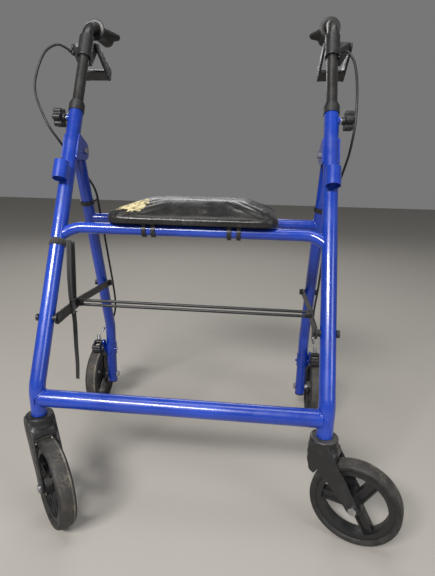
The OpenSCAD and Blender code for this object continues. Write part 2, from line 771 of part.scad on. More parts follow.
module brake_arm(side) {
    place(steel) at_side(side) difference() {
        union() {
            x_span(arm_pivot[1], arm_pivot[2], side * arm_x[0], side * arm_x[1], arm_pin_r + 3);
            side_plate(side * (arm_x[0] + 1.5), 3) hull() {
                translate([arm_pivot[1], arm_pivot[2]]) circle(r = arm_pin_r + 3);
                translate([arm_pivot[1] - 24, arm_pivot[2] - 6]) circle(r = 5);
            }
            side_plate(side * (arm_x[1] - 1.5), 3) hull() {
                translate([arm_pivot[1], arm_pivot[2]]) circle(r = arm_pin_r + 3);
                translate([arm_pivot[1] - 24, arm_pivot[2] - 6]) circle(r = 5);
            }
            x_span(arm_pivot[1] - 24, arm_pivot[2] - 6, side * arm_x[0], side * arm_x[1], 5);
            x_span(arm_pivot[1] - 20, arm_pivot[2] - 14, side * arm_x[0], side * arm_x[1], 8);
        }
        x_span(arm_pivot[1], arm_pivot[2], 0, side * 60, arm_pin_r + play);
        x_bar([0, wheelbase, axle_z], wheel_r + shoe_gap, 200);
    }
}

module left_brake_arm() brake_arm(LEFT);
module right_brake_arm() brake_arm(RIGHT);

spring_coils = 5;
spring_pitch = 3.4;

module brake_spring(side) {
    place(steel) at_side(side) for (k = [0 : spring_coils - 1])
        translate([side * (arm_x[0] + arm_x[1]) / 2, arm_pivot[1] - 1, arm_pivot[2] + 8 + k * spring_pitch])
            rotate_extrude() translate([3.4, 0]) circle(r = 2);
}

module left_brake_spring() brake_spring(LEFT);
module right_brake_spring() brake_spring(RIGHT);

// ---------- seat ----------

pad_front_y = 116;
pad_corner_r = 28;
pad_top_z = 568;
board_top_z = board_z + board_t;
lip_z = 521;

module pad_outline(inset) {
    r = pad_corner_r - inset;
    hull() for (x = [-1, 1]) for (y = [0, 1])
        translate([x * (pad_w / 2 - pad_corner_r), pad_front_y + pad_corner_r + y * (pad_d - 2 * pad_corner_r)])
            circle(r = r);
}

module seat_pad() {
    place(black) difference() {
        translate([0, 0, lip_z]) linear_extrude(height = pad_top_z - lip_z) pad_outline(0);
        translate([0, 0, lip_z - overcut]) linear_extrude(height = board_top_z + 0.1 - lip_z + overcut) pad_outline(5);
        translate([-200, pad_front_y + 12, lip_z - overcut]) cube([400, 400, board_z - lip_z + overcut]);
    }
}

module seat_board() {
    place("#2a2622") translate([0, 0, board_z]) linear_extrude(height = board_t) pad_outline(6);
}

clip_x = 82;
hook_w = 8;

module seat_clips() {
    r = seat_tube_r + play;
    place(steel) for (side = [LEFT, RIGHT]) translate([side * clip_x, 0, 0]) {
        for (hook = [-1, 1]) translate([hook * 9, 0, 0]) difference() {
            union() {
                x_bar([0, seat_tube_y, seat_tube_z], seat_tube_r + 3, hook_w);
                translate([-hook_w / 2, seat_tube_y - 12, seat_tube_z]) cube([hook_w, 24, board_z - seat_tube_z]);
            }
            x_bar([0, seat_tube_y, seat_tube_z], r, hook_w + 2);
            translate([0, seat_tube_y + 9, seat_tube_z - 14]) rotate([45, 0, 0]) cube([hook_w + 2, 16, 16], center = true);
        }
    }
}

left_front_leg();
right_front_leg();
bottom_bar();
front_seat_tube();
backrest_sockets();
hinge_brackets();
hinge_bolts();
tube_collars();
knob_nuts();
front_brace_bolts();
caster_bushings();
pull_strap();
left_rear_leg();
right_rear_leg();
rear_seat_tube();
rear_leg_plugs();
rear_axles();
brake_brackets();
rear_brace_bolts();
cable_rings();
left_lower_cable();
right_lower_cable();
front_links();
cross_rod();
rear_links();
left_handle_tube();
left_grip();
left_brake_housing();
left_brake_lever();
left_upper_cable();
right_handle_tube();
right_grip();
right_brake_housing();
right_brake_lever();
right_upper_cable();
left_knob();
left_knob_screw();
right_knob();
right_knob_screw();
left_caster_stem();
left_caster_fork();
left_caster_axle();
left_front_wheel();
left_front_tyre();
right_caster_stem();
right_caster_fork();
right_caster_axle();
right_front_wheel();
right_front_tyre();
left_rear_wheel();
left_rear_tyre();
right_rear_wheel();
right_rear_tyre();
left_brake_arm();
left_brake_spring();
right_brake_arm();
right_brake_spring();
seat_pad();
seat_board();
seat_clips();
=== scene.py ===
"""Looks for the rollator walker: worn blue paint, moulded black plastic, rubber, webbing and a stuffed vinyl seat
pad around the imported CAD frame. Metres, in the row frame: +Z up, casters towards -Y, the user behind at +Y."""

import json
import math

import bmesh
import bpy
import numpy as np
from mathutils import Matrix, Vector, noise


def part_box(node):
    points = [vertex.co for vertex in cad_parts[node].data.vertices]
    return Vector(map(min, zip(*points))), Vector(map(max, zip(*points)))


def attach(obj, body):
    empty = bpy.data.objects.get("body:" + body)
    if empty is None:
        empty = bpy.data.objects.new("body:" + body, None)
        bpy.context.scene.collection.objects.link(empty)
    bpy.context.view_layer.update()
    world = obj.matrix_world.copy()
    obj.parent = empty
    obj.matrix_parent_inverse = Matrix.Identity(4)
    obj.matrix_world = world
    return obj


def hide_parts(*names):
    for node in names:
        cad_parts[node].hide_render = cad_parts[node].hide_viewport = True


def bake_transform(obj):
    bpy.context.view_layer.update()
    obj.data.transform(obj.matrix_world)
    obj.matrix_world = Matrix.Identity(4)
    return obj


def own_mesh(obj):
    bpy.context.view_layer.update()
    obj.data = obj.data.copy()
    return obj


MM = 0.001
SIDES = {"left": -1, "right": 1}

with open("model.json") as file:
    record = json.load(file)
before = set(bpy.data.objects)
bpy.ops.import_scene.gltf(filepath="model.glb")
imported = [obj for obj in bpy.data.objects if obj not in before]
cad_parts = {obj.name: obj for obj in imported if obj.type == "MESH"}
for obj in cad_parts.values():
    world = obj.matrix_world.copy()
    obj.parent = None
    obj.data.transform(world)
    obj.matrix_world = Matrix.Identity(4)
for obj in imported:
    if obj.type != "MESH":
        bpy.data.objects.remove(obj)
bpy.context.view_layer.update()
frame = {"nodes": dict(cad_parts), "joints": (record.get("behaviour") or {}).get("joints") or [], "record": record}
joints = {j["name"]: j for j in frame["joints"]}

# The two side frames' planes, and where the design's own zero (between the caster stems) lies in the row frame
LEG_X = {s: joints[f"{s}_caster_swivel"]["pos_m"][0] for s in SIDES}
MID_X = (LEG_X["left"] + LEG_X["right"]) / 2
STEM_Y = joints["left_caster_swivel"]["pos_m"][1]
HINGE = Vector(joints["fold"]["pos_m"])
WHEEL_R = joints["left_rear_wheel_spin"]["pos_m"][2]
LEAN = Vector(joints["left_handle_slide"]["axis"])


def design(x, y, z):
    """A point given in millimetres from the design's own zero, in the row frame."""
    return Vector((MID_X + x * MM, STEM_Y + y * MM, z * MM))


# ---------------------------------------------------------------- camera, light and floor

CAMERA_AT = design(128.2, -656.6, 620.1)
YAW, PITCH, ROLL = (math.radians(a) for a in (-5.39, 14.98, 1.38))
LENS = 26.29  # on a 36 mm tall sensor


def add_camera():
    forward = Vector((math.sin(YAW) * math.cos(PITCH), math.cos(YAW) * math.cos(PITCH), -math.sin(PITCH)))
    level = Vector((math.cos(YAW), -math.sin(YAW), 0))
    upright = level.cross(forward)
    right = math.cos(ROLL) * level + math.sin(ROLL) * upright
    up = -math.sin(ROLL) * level + math.cos(ROLL) * upright
    data = bpy.data.cameras.new("camera")
    data.lens = LENS
    data.sensor_width = 36
    data.sensor_fit = "AUTO"
    data.clip_start = 0.02
    camera = bpy.data.objects.new("camera", data)
    turn = Matrix((right, up, -forward)).transposed().to_4x4()
    camera.matrix_world = Matrix.Translation(CAMERA_AT) @ turn
    bpy.context.collection.objects.link(camera)
    bpy.context.scene.camera = camera


def add_area_light(name, at, size, power, target, tint=(1, 1, 1)):
    data = bpy.data.lights.new(name, "AREA")
    data.shape = "RECTANGLE"
    data.size, data.size_y = size
    data.energy = power
    data.color = tint
    light = bpy.data.objects.new(name, data)
    light.location = at
    light.rotation_euler = (Vector(target) - Vector(at)).to_track_quat("-Z", "Y").to_euler()
    bpy.context.collection.objects.link(light)


def add_surroundings():
    centre = (0, 0, 0.5)
    add_area_light("key_softbox", (-0.9, -2.4, 2.3), (1.5, 0.45), 124, centre, (1, 0.98, 0.95))
    add_area_light("fill_softbox", (2.2, -1.6, 1.5), (1.0, 1.4), 20, centre, (0.95, 0.97, 1))
    add_area_light("overhead", (0.1, -0.2, 3.0), (2.4, 0.7), 22, centre)
    add_area_light("back_softbox", (-0.6, 2.6, 2.0), (2.0, 1.2), 22, centre)
    world = bpy.data.worlds.new("studio")
    world.use_nodes = True
    world.node_tree.nodes["Background"].inputs["Color"].default_value = (0.8, 0.8, 0.8, 1)
    world.node_tree.nodes["Background"].inputs["Strength"].default_value = 0.23
    bpy.context.scene.world = world
    bpy.context.scene.view_settings.view_transform = "Standard"
    mesh = bpy.data.meshes.new("floor")
    reach = 9
    corners = [(-reach, -reach, 0), (reach, -reach, 0), (reach, reach, 0), (-reach, reach, 0)]
    mesh.from_pydata(corners, [], [(0, 1, 2, 3)])
    floor = bpy.data.objects.new("floor", mesh)
    bpy.context.collection.objects.link(floor)
    pale = Shader("floor_pale", (0.36, 0.34, 0.31), 0.85)
    mesh.materials.append(pale.material)


# ---------------------------------------------------------------- materials


class Shader:
    """A Principled material with a few helpers for building its nodes."""

    def __init__(self, name, colour, roughness, metallic=0.0):
        self.material = bpy.data.materials.new(name)
        self.material.use_nodes = True
        self.nodes = self.material.node_tree.nodes
        self.links = self.material.node_tree.links
        self.surface = self.nodes["Principled BSDF"]
        self.set("Base Color", (*colour, 1))
        self.set("Roughness", roughness)
        self.set("Metallic", metallic)
        self.material.diffuse_color = (*colour, 1)
        self.place = self.nodes.new("ShaderNodeTexCoord").outputs["Object"]
        self.normal = self.nodes.new("ShaderNodeNewGeometry").outputs["Normal"]

    def plug(self, socket, value):
        if isinstance(value, bpy.types.NodeSocket):
            self.links.new(value, socket)
        else:
            socket.default_value = value

    def set(self, socket, value):
        self.plug(self.surface.inputs[socket], value)

    def make(self, kind, out, **inputs):
        node = self.nodes.new("ShaderNode" + kind)
        for key, value in inputs.items():
            self.plug(node.inputs[key.replace("_", " ")], value)
        return node.outputs[out]

    def noise(self, scale, detail=4.0, roughness=0.55, vector=None):
        vector = vector or self.place
        return self.make("TexNoise", "Fac", Vector=vector, Scale=scale, Detail=detail, Roughness=roughness)

    def cells(self, scale):
        return self.make("TexVoronoi", "Distance", Vector=self.place, Scale=scale)

    def math(self, operation, a, b=0.0):
        node = self.nodes.new("ShaderNodeMath")
        node.operation = operation
        self.plug(node.inputs[0], a)
        self.plug(node.inputs[1], b)
        return node.outputs[0]

    def span(self, value, low, high, to_low=0.0, to_high=1.0):
        """value going from low to high becomes to_low to to_high, eased and clamped."""
        node = self.nodes.new("ShaderNodeMapRange")
        node.interpolation_type = "SMOOTHSTEP"
        for index, v in enumerate((value, low, high, to_low, to_high)):
            self.plug(node.inputs[index], v)
        return node.outputs[0]

    def mix(self, share, a, b):
        """Colour a turning into colour b; a Mix node's colour sockets are its inputs 6 and 7 and its output 2."""
        node = self.nodes.new("ShaderNodeMix")
        node.data_type = "RGBA"
        self.plug(node.inputs[0], share)
        for socket, value in ((node.inputs[6], a), (node.inputs[7], b)):
            self.plug(socket, value if isinstance(value, bpy.types.NodeSocket) else (*value, 1))
        return node.outputs[2]

    def part(self, vector, axis):
        return self.make("SeparateXYZ", axis, Vector=vector)

    def stretched(self, x, y, z):
        node = self.nodes.new("ShaderNodeMapping")
        self.plug(node.inputs["Vector"], self.place)
        node.inputs["Scale"].default_value = (x, y, z)
        return node.outputs[0]

    def bump(self, height, distance, strength=1.0, under=None):
        """Raises (or, below zero, sinks) the surface by distance where height is 1, on top of the bump under it."""
        node = self.nodes.new("ShaderNodeBump")
        node.inputs["Distance"].default_value = distance
        node.inputs["Strength"].default_value = strength
        self.plug(node.inputs["Height"], height)
        if under is not None:
            self.plug(node.inputs["Normal"], under)
        self.set("Normal", node.outputs[0])
        return node.outputs[0]


def blue_paint():
    """Glossy blue powder coat with orange peel, fine scuffs, and chips that show pale primer."""
    s = Shader("blue_paint", (0.02, 0.07, 0.52), 0.3)
    shade = s.span(s.noise(7, 3), 0.3, 0.7)
    base = s.mix(shade, (0.003, 0.028, 0.27), (0.008, 0.048, 0.4))
    low = s.span(s.part(s.place, "Z"), 0.26, 0.18)
    front = s.span(s.part(s.normal, "Y"), 0.1, -0.5)
    worn = s.math("ADD", 0.18, s.math("MULTIPLY", s.math("MULTIPLY", low, front), 0.9))
    scuffs = s.span(s.noise(1, 8, 0.72, s.stretched(45, 160, 160)), 0.66, 0.76)
    patches = s.span(s.noise(16, 3), 0.53, 0.66)
    scuffs = s.math("MULTIPLY", s.math("MULTIPLY", scuffs, patches), worn)
    chips = s.math("MULTIPLY", s.span(s.noise(190, 5, 0.6), 0.71, 0.73), s.span(s.noise(22, 2), 0.55, 0.66))
    mark = s.math("MINIMUM", s.math("ADD", scuffs, s.math("MULTIPLY", chips, 0.8)), 1.0)
    s.set("Base Color", s.mix(mark, base, (0.5, 0.54, 0.62)))
    gloss = s.span(s.noise(30, 4), 0.35, 0.7, 0.24, 0.42)
    s.set("Roughness", s.math("ADD", gloss, s.math("MULTIPLY", mark, 0.35)))
    s.set("Coat Weight", 0.6)
    s.set("Coat Roughness", 0.1)
    peel = s.bump(s.noise(420, 2), 0.00012, 0.35)
    s.bump(mark, -0.0002, 0.8, peel)
    return s.material


def moulded_plastic(name="black_plastic", colour=(0.011, 0.011, 0.012), rough=0.4, grain_depth=0.00008):
    """Injection-moulded black plastic with fine grain, pale handling marks and dust in its upward faces."""
    s = Shader(name, colour, rough)
    rubbed = s.math("MULTIPLY", s.span(s.noise(36, 6, 0.65), 0.52, 0.72), 0.5)
    dust = s.math("MULTIPLY", s.span(s.part(s.normal, "Z"), 0.35, 0.95), s.span(s.noise(14, 5), 0.4, 0.7))
    lighter = s.mix(rubbed, colour, tuple(c * 2.6 for c in colour))
    s.set("Base Color", s.mix(s.math("MULTIPLY", dust, 0.35), lighter, (0.14, 0.13, 0.12)))
    s.set("Roughness", s.span(s.noise(60, 4), 0.3, 0.7, rough - 0.08, rough + 0.18))
    grain = s.bump(s.cells(1500), grain_depth, 0.4)
    s.bump(s.span(s.noise(1, 6, 0.7, s.stretched(320, 60, 260)), 0.62, 0.7), -grain_depth, 0.5, grain)
    return s.material


def grip_rubber():
    """Soft rubber with a fine dotted grip pattern, shiny where hands rub it."""
    s = Shader("grip_rubber", (0.016, 0.016, 0.017), 0.6)
    shine = s.span(s.noise(26, 4), 0.42, 0.66)
    s.set("Base Color", s.mix(shine, (0.009, 0.009, 0.0095), (0.022, 0.021, 0.021)))
    s.set("Roughness", s.math("SUBTRACT", 0.66, s.math("MULTIPLY", shine, 0.28)))
    dots = s.span(s.cells(430), 0.15, 0.5, 1, 0)
    s.bump(dots, 0.00012, 0.5)
    return s.material


def tyre_rubber():
    """Black tyre: grey sidewall bloom, a dusty tread and a painted highlight: a pale line along one shoulder of the
    tread. Local Z is the axle.
    """
    s = Shader("tyre_rubber", (0.03, 0.03, 0.03), 0.75)
    x, y, z = (s.part(s.place, a) for a in "XYZ")
    radius = s.math("POWER", s.math("ADD", s.math("MULTIPLY", x, x), s.math("MULTIPLY", y, y)), 0.5)
    tread = s.span(radius, WHEEL_R - 0.0022, WHEEL_R - 0.0004)
    dirt = s.span(s.noise(38, 7, 0.65), 0.42, 0.68)
    fine = s.span(s.noise(240, 4, 0.6), 0.35, 0.65)
    worn = s.mix(s.math("MULTIPLY", dirt, fine), (0.03, 0.028, 0.026), (0.11, 0.097, 0.08))
    # Painted highlight: a pale band on the tread's shoulder at +Z only, the same side on every wheel, where light
    # catches the rounded edge
    painted_highlight_line = s.math("MULTIPLY", s.span(z, 0.0078, 0.0095), s.span(z, 0.0128, 0.0115))
    # from here on, worn holds the real tread dust together with the painted highlight line
    worn = s.mix(s.math("MULTIPLY", painted_highlight_line, s.span(dirt, 0, 1, 0.3, 0.8)), worn, (0.3, 0.27, 0.22))
    wall = s.mix(s.span(s.noise(50, 4), 0.4, 0.7), (0.01, 0.01, 0.0105), (0.028, 0.027, 0.026))
    s.set("Base Color", s.mix(tread, wall, worn))
    s.set("Roughness", s.span(dirt, 0, 1, 0.62, 0.92))
    s.bump(s.noise(520, 5, 0.7), 0.00025, 0.7)
    return s.material


def metal(name, colour, rough, rust=0.0, metallic=1.0):
    """Plated or painted steel with fine drag marks and, where rust is above zero, brown spots."""
    s = Shader(name, colour, rough, metallic)
    drag = s.noise(1, 4, 0.6, s.stretched(900, 120, 120))
    stain = s.math("MULTIPLY", s.span(s.noise(120, 6, 0.7), 0.56, 0.68), rust)
    tone = s.mix(s.span(s.noise(45, 4), 0.35, 0.7), colour, tuple(c * 0.7 for c in colour))
    s.set("Base Color", s.mix(stain, tone, (0.12, 0.055, 0.03)))
    s.set("Metallic", s.math("SUBTRACT", metallic, s.math("MULTIPLY", stain, 0.8 * metallic)))
    dragged = s.span(drag, 0.3, 0.7, rough - 0.08, rough + 0.12)
    s.set("Roughness", s.math("ADD", dragged, s.math("MULTIPLY", stain, 0.4)))
    s.bump(s.math("ADD", drag, stain), 0.00006, 0.5)
    return s.material


def handle_tube_finish():
    """Satin black tube with long pale sliding scratches along it."""
    s = Shader("black_tube", (0.016, 0.0155, 0.015), 0.34)
    scratch = s.span(s.noise(1, 6, 0.7, s.stretched(520, 60, 40)), 0.64, 0.74)
    s.set("Base Color", s.mix(scratch, (0.015, 0.0145, 0.014), (0.12, 0.115, 0.11)))
    s.set("Roughness", s.span(s.noise(40, 4), 0.3, 0.7, 0.26, 0.42))
    s.bump(scratch, -0.00008, 0.6)
    return s.material


TORN_AT, TORN_X, TORN_Y = design(-122, 160, 560), 0.04, 0.03  # the worn-through patch and its two radii


def vinyl():
    """Black vinyl: pebbled grain, broad creases, scuffs, and one worn-through patch that shows the cream backing."""
    s = Shader("vinyl", (0.02, 0.019, 0.019), 0.36)
    grain = s.cells(620)
    crease = s.span(s.noise(1, 5, 0.6, s.stretched(26, 60, 60)), 0.55, 0.68)
    scuff = s.math("MULTIPLY", s.span(s.noise(60, 7, 0.7), 0.55, 0.68), s.span(s.noise(9, 2), 0.5, 0.62))
    from_patch = s.nodes.new("ShaderNodeVectorMath")
    from_patch.operation = "SUBTRACT"
    s.plug(from_patch.inputs[0], s.place)
    from_patch.inputs[1].default_value = TORN_AT
    dx, dy = (s.part(from_patch.outputs[0], a) for a in "XY")
    away = s.math(
        "ADD",
        s.math("MULTIPLY", s.math("MULTIPLY", dx, dx), 1 / TORN_X**2),
        s.math("MULTIPLY", s.math("MULTIPLY", dy, dy), 1 / TORN_Y**2),
    )
    ragged = s.math("ADD", away, s.math("MULTIPLY", s.math("SUBTRACT", s.noise(85, 8, 0.75), 0.5), 4.2))
    torn = s.span(ragged, 0.78, 0.7)
    dark = s.mix(s.span(s.noise(20, 4), 0.35, 0.7), (0.011, 0.011, 0.011), (0.022, 0.021, 0.02))
    dark = s.mix(s.math("MULTIPLY", scuff, 0.5), dark, (0.16, 0.155, 0.145))
    cream = s.mix(s.span(s.noise(120, 6, 0.7), 0.35, 0.65), (0.24, 0.19, 0.09), (0.66, 0.58, 0.34))
    s.set("Base Color", s.mix(torn, dark, cream))
    polish = s.span(s.noise(34, 5), 0.3, 0.7, 0.2, 0.36)
    s.set("Roughness", s.math("ADD", polish, s.math("MULTIPLY", torn, 0.5)))
    s.set("Specular IOR Level", 0.38)
    pebbles = s.bump(grain, 0.00022, 0.5)
    folds = s.bump(crease, -0.0005, 0.5, pebbles)
    s.bump(torn, -0.0008, 1.0, folds)
    return s.material


def webbing():
    """Black polypropylene webbing: a fine basket weave with slightly fuzzy, paler ribs."""
    s = Shader("webbing", (0.02, 0.02, 0.021), 0.8)
    along = s.make("TexWave", "Fac", Vector=s.stretched(0.2, 0.2, 1), Scale=330.0, Distortion=0.6)
    across = s.math("SINE", s.math("MULTIPLY", s.part(s.place, "X"), 3600.0))
    weave = s.math("MULTIPLY", along, s.span(across, -1, 1, 0.4, 1))
    s.set("Base Color", s.mix(weave, (0.01, 0.01, 0.011), (0.05, 0.049, 0.048)))
    s.set("Sheen Weight", 0.3)
    s.bump(weave, 0.0003, 0.8)
    return s.material


def fibreboard():
    """The seat board's brown hardboard with its fibres along Y."""
    s = Shader("fibreboard", (0.05, 0.04, 0.03), 0.8)
    fibre = s.noise(1, 7, 0.7, s.stretched(500, 40, 500))
    s.set("Base Color", s.mix(fibre, (0.035, 0.027, 0.02), (0.1, 0.08, 0.055)))
    s.bump(fibre, 0.0003, 0.6)
    return s.material


def build_materials():
    return {
        "blue_paint": blue_paint(),
        "black_plastic": moulded_plastic(),
        "grip_rubber": grip_rubber(),
        "tyre": tyre_rubber(),
        "zinc_steel": metal("zinc_steel", (0.5, 0.51, 0.53), 0.34, 0.5),
        "black_steel": metal("black_steel", (0.022, 0.022, 0.024), 0.4, 0.25, 0.2),
        "black_tube": handle_tube_finish(),
        "cable_sheath": moulded_plastic("cable_sheath", (0.009, 0.009, 0.01), 0.42, 0.00001),
        "webbing": webbing(),
        "vinyl": vinyl(),
        "board": fibreboard(),
    }


# ---------------------------------------------------------------- building blocks


def add_piece(name, mesh, slot, body=None, node=None):
    """Links a new mesh object, gives it its material, attaches it to the body it rides on, and hides the CAD node it
    stands in for.
    """
    obj = bpy.data.objects.new(name, mesh)
    bpy.context.collection.objects.link(obj)
    mesh.materials.clear()
    mesh.materials.append(materials[slot])
    for face in mesh.polygons:
        face.use_smooth = True
    if body:
        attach(obj, body)
    if node:
        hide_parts(node)
    return obj


def skin_rings(rings, closed=False):
    """A mesh skinned over rings with the same number of points each: closed into a loop, or capped at both ends."""
    count = len(rings[0])
    verts = [p for ring in rings for p in ring]
    faces = []
    for i in range(len(rings) if closed else len(rings) - 1):
        a, b = i * count, ((i + 1) % len(rings)) * count
        faces += [(a + k, a + (k + 1) % count, b + (k + 1) % count, b + k) for k in range(count)]
    if not closed:
        faces += [tuple(reversed(range(count))), tuple(range(len(verts) - count, len(verts)))]
    mesh = bpy.data.meshes.new("skin")
    mesh.from_pydata([tuple(v) for v in verts], [], faces)
    bm = bmesh.new()
    bm.from_mesh(mesh)
    bmesh.ops.recalc_face_normals(bm, faces=bm.faces)
    bm.to_mesh(mesh)
    bm.free()
    return mesh


def smooth_path(points, steps=8):
    """A Catmull-Rom curve through the points."""
    p = [Vector(q) for q in points]
    out = []
    for i in range(len(p) - 1):
        a, b, c, d = p[max(i - 1, 0)], p[i], p[i + 1], p[min(i + 2, len(p) - 1)]
        for k in range(steps):
            t = k / steps
            out.append(
                0.5 * (2 * b + (c - a) * t + (2 * a - 5 * b + 4 * c - d) * t**2 + (3 * b - a - 3 * c + d) * t**3)
            )
    return out + [p[-1]]


def heading(path, i):
    """The path's direction at its point i."""
    return (path[min(i + 1, len(path) - 1)] - path[max(i - 1, 0)]).normalized()


def frames_along(path):
    """For each point: (point, u, v), two directions across the path that turn as little as possible."""
    frames = []
    u = Vector((1, 0.13, 0.07))  # along no path of this object
    for i, p in enumerate(path):
        t = heading(path, i)
        u = u - t * t.dot(u)
        u.normalize()
        frames.append((p, u.copy(), t.cross(u)))
    return frames


def tube(path, radius, sides=14, closed=False):
    """A round tube along a path; radius may be a number or one number a point."""
    radii = radius if isinstance(radius, (list, tuple)) else [radius] * len(path)
    rings = []
    for (p, u, v), r in zip(frames_along(path), radii):
        turns = [2 * math.pi * k / sides for k in range(sides)]
        rings.append([p + r * (math.cos(a) * u + math.sin(a) * v) for a in turns])
    return skin_rings(rings, closed)


def ribbon(path, width, thickness, across=Vector((1, 0, 0)), twist=0.0):
    """A flat strap with rounded edges along a path, its width lying along across and turning by twist."""
    h, w = thickness / 2, width / 2
    outline = [(-w, 0), (-w + h, -h), (-w / 3, -h), (w / 3, -h), (w - h, -h), (w, 0)]
    outline += [(w - h, h), (w / 3, h), (-w / 3, h), (-w + h, h)]
    rings = []
    for i, p in enumerate(path):
        t = heading(path, i)
        u = across - t * t.dot(across)
        u.normalize()
        u.rotate(Matrix.Rotation(twist * i / (len(path) - 1), 3, t))
        v = t.cross(u)
        rings.append([p + a * u + b * v for a, b in outline])
    return skin_rings(rings)


def lathe(profile, sides=128):
    """A closed profile of (radius, height) points turned about the local Z axis."""
    rings = []
    for k in range(sides):
        a = 2 * math.pi * k / sides
        rings.append([Vector((r * math.cos(a), r * math.sin(a), z)) for r, z in profile])
    return skin_rings(rings, closed=True)


def joined(meshes):
    """Several meshes as one."""
    bm = bmesh.new()
    for mesh in meshes:
        bm.from_mesh(mesh)
    whole = bpy.data.meshes.new("joined")
    bm.to_mesh(whole)
    bm.free()
    return whole


def bake(obj):
    """Applies the object's modifiers to its mesh."""
    mesh = bpy.data.meshes.new_from_object(obj.evaluated_get(bpy.context.evaluated_depsgraph_get()))
    obj.modifiers.clear()
    obj.data = mesh


def axis_turn(at, axis):
    """A placement whose local Z runs along axis."""
    return Matrix.Translation(at) @ Vector(axis).to_track_quat("Z", "Y").to_matrix().to_4x4()


# ---------------------------------------------------------------- CAD nodes that stay

MOULDED = {"grip": 1.6, "brake_housing": 1.3, "brake_lever": 1.4, "knob": 1.0}  # with the voxel size in millimetres
CRISP = (
    "hinge_brackets hinge_bolts front_brace_bolts rear_brace_bolts brake_brackets rear_axles seat_clips front_links "
    "rear_links tube_collars cable_rings rear_leg_plugs knob_nuts left_brake_arm right_brake_arm left_caster_axle "
    "right_caster_axle left_rear_wheel right_rear_wheel left_front_wheel right_front_wheel"
).split()


def soften(obj, voxel, rounds):
    """Rounds a moulded piece's corners and inner angles."""
    remesh = obj.modifiers.new("remesh", "REMESH")
    remesh.mode = "VOXEL"
    remesh.voxel_size = voxel * MM
    remesh.use_smooth_shade = True
    smooth = obj.modifiers.new("smooth", "SMOOTH")
    smooth.factor = 0.6
    smooth.iterations = rounds


def dress_cad_nodes():
    """Gives every CAD node its material, rounds the moulded ones and takes the edge off the crisp ones."""
    for entry in frame["record"]["subparts"]:
        obj = frame["nodes"][entry["node"]]
        obj.data.materials.clear()
        obj.data.materials.append(materials[entry["material_slot"]])
        kind = entry["node"].replace("left_", "").replace("right_", "")
        if kind in MOULDED:
            soften(obj, MOULDED[kind], 5)
        elif entry["node"] in CRISP:
            bevel = obj.modifiers.new("edge", "BEVEL")
            bevel.width = 0.5 * MM
            bevel.segments = 2
            bevel.limit_method = "ANGLE"
            bevel.angle_limit = math.radians(40)


def caster_forks():
    """The CAD's blades and crown and a deep hood that fills the space down to the tyre, blended into one casting."""
    trail, axle_z, tyre_gap_r, half_width = 63, 78, 83.5, 19.5
    hood = [(-21, 171), (19, 171), (26, 166)]
    for degrees in range(114, 153, 6):
        a = math.radians(degrees)
        hood.append((trail + tyre_gap_r * math.cos(a), axle_z + tyre_gap_r * math.sin(a)))
    hood += [(-18, 126), (-23, 148)]
    for side in SIDES:
        stem, hub = (Vector(joints[f"{side}_{name}"]["pos_m"]) for name in ("caster_swivel", "front_wheel_spin"))
        along = Vector((hub.x - stem.x, hub.y - stem.y, 0)).normalized()
        across = along.cross(Vector((0, 0, 1)))
        base = Vector((stem.x, stem.y, 0))
        rings = []
        for w in (-half_width, half_width):
            rings.append([base + (u * along + w * across) * MM + Vector((0, 0, z * MM)) for u, z in hood])
        mesh = joined([frame["nodes"][f"{side}_caster_fork"].data, skin_rings(rings)])
        fork = add_piece(f"{side}_fork_casting", mesh, "black_plastic", f"{side}_caster", f"{side}_caster_fork")
        soften(fork, 1.5, 6)


# ---------------------------------------------------------------- front seat tube


def front_seat_tube():
    """The tube between the front legs, whose ends curve down into them and narrow once inside."""
    low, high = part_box("front_seat_tube")
    y, z = (low[1] + high[1]) / 2, (low[2] + high[2]) / 2
    bend = [(190, 0, 0), (212, 0, 0), (226, -1, -1), (238, -5, -4.5)]
    bend += [(248, -10.5, -10), (256, -16.5, -17), (259, -20, -23)]
    half = [Vector((MID_X + x * MM, y + dy * MM, z + dz * MM)) for x, dy, dz in bend]
    mirror = [Vector((2 * MID_X - p.x, p.y, p.z)) for p in reversed(half)]
    path = smooth_path(mirror + [Vector((MID_X + k * 38 * MM, y, z)) for k in range(-4, 5)] + half)
    radii = [(11.1 - 2.2 * max(0.0, (abs(p.x - MID_X) / MM - 244) / 15) ** 2) * MM for p in path]
    add_piece("front_seat_tube_bent", tube(path, radii, 40), "blue_paint", "front_frame", "front_seat_tube")


# ---------------------------------------------------------------- seat pad


PAD_CORNER = 30 * MM


def rounded_outline(low, high, inset, per_corner=12):
    """The pad's outline in plan, moved in by inset."""
    x0, y0, x1, y1 = low[0] + inset, low[1] + inset, high[0] - inset, high[1] - inset
    r = max(PAD_CORNER - inset, 4 * MM)
    points = []
    for cx, cy, start in ((x1 - r, y1 - r, 0), (x0 + r, y1 - r, 90), (x0 + r, y0 + r, 180), (x1 - r, y0 + r, 270)):
        for k in range(per_corner + 1):
            a = math.radians(start + 90 * k / per_corner)
            points.append((cx + r * math.cos(a), cy + r * math.sin(a)))
    return points


def pad_shape(low, high, board_top):
    """The pad before stuffing: tucked under the board's edge, a short upright side, and an elliptical crown."""
    top = high[2]
    waist = low[2] + 20 * MM
    profile = [
        (60, board_top + 0.8 * MM), (16, board_top + 0.8 * MM), (6.6, board_top + 0.6 * MM),
        (6.2, low[2] + 8 * MM), (4, low[2] + 5.5 * MM), (1.5, low[2] + 8 * MM), (0.5, low[2] + 14 * MM), (0.5, waist),
    ]
    for k in range(1, 13):
        turn = math.pi / 2 * k / 12
        profile.append((0.5 + 100 * (1 - math.cos(turn)), waist + (top - 3 * MM - waist) * math.sin(turn) ** 0.95))
    rings = []
    for inset, z in profile:
        outline = rounded_outline(low, high, inset * MM)
        rings.append([Vector((x, y, z)) for x, y in outline])
    return skin_rings(rings)


